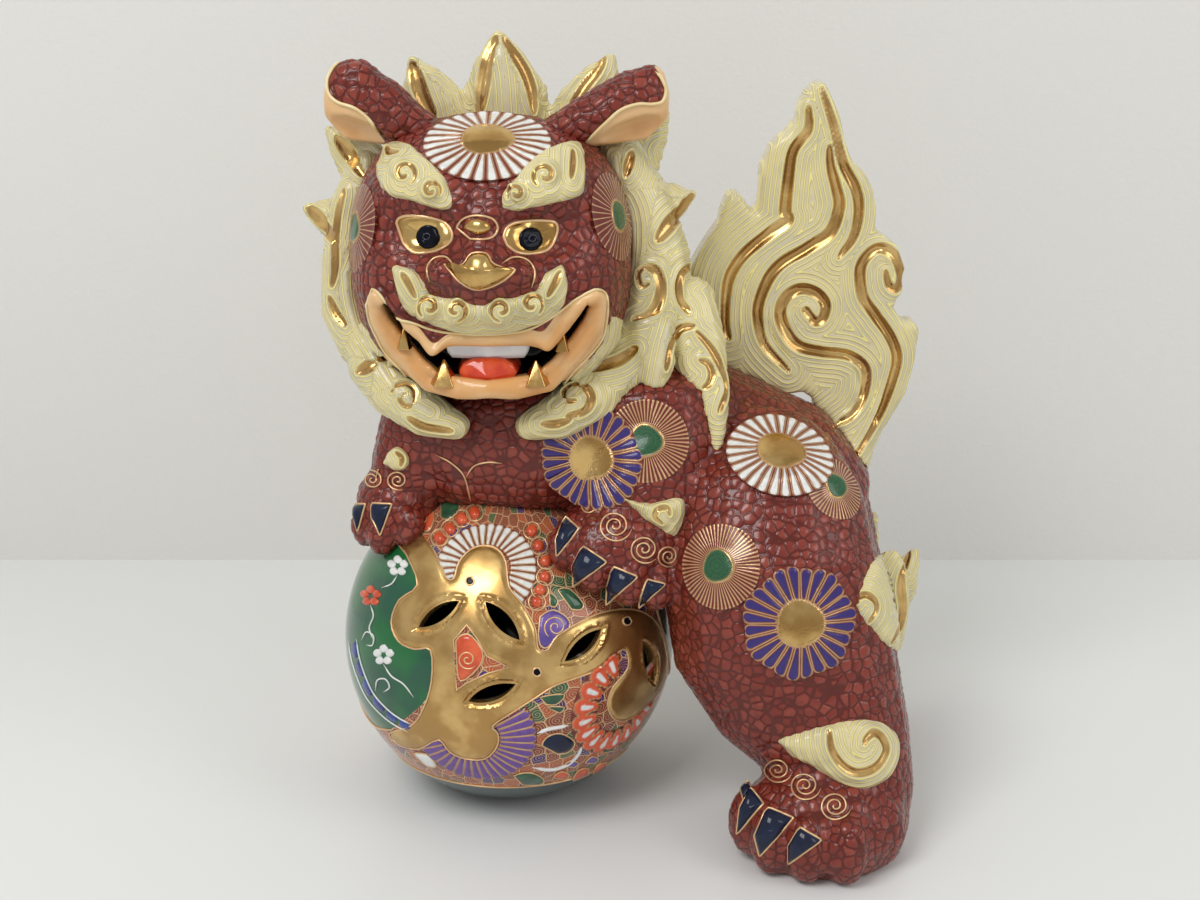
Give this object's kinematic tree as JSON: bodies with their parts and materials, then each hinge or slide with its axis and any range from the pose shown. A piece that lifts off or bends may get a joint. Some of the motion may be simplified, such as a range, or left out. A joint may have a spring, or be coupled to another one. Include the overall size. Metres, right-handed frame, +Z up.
{
  "type": "porcelain guardian lion figure",
  "caption": "Standing porcelain guardian lion with both forepaws on a pierced ball, open mouth, flaming mane and an upright flame tail.",
  "frame": {"origin": "centre of the footprint's box, on the plane of the feet", "axes": "+Z up, the face looks along -Y, the figure's own left is +X"},
  "size_m": [0.3134, 0.2232, 0.3873],
  "materials": {
    "red_glaze": "glossy pebbled red glaze",
    "cream_glaze": "glossy cream glaze with raised pale yellow lines",
    "gold_lustre": "burnished gold over glaze",
    "white_glaze": "glossy white glaze",
    "tongue_glaze": "glossy orange-red glaze",
    "ball_glaze": "glossy overglaze enamels and gold"
  },
  "bodies": {
    "root": {"torso": "red_glaze", "left_foreleg": "red_glaze", "right_foreleg": "red_glaze", "left_hind_leg": "red_glaze", "right_hind_leg": "red_glaze", "head": "red_glaze", "left_ear": "red_glaze", "right_ear": "red_glaze", "mane_crest": "cream_glaze", "left_cheek_mane": "cream_glaze", "right_cheek_mane": "cream_glaze", "left_beard": "cream_glaze", "right_beard": "cream_glaze", "left_nape_lock": "cream_glaze", "left_shoulder_lock": "cream_glaze", "left_brow": "cream_glaze", "right_brow": "cream_glaze", "moustache": "cream_glaze", "tail": "cream_glaze", "left_elbow_tuft": "cream_glaze", "right_elbow_tuft": "cream_glaze", "left_ankle_tuft": "cream_glaze", "right_ankle_tuft": "cream_glaze", "left_wrist_tuft": "cream_glaze", "right_wrist_tuft": "cream_glaze", "nose": "gold_lustre", "brow_boss": "gold_lustre", "left_eye": "gold_lustre", "right_eye": "gold_lustre", "left_front_fang": "gold_lustre", "right_front_fang": "gold_lustre", "left_side_fang": "gold_lustre", "right_side_fang": "gold_lustre", "upper_teeth": "white_glaze", "tongue": "tongue_glaze", "ball_shell": "ball_glaze"}
  },
  "joints": []
}
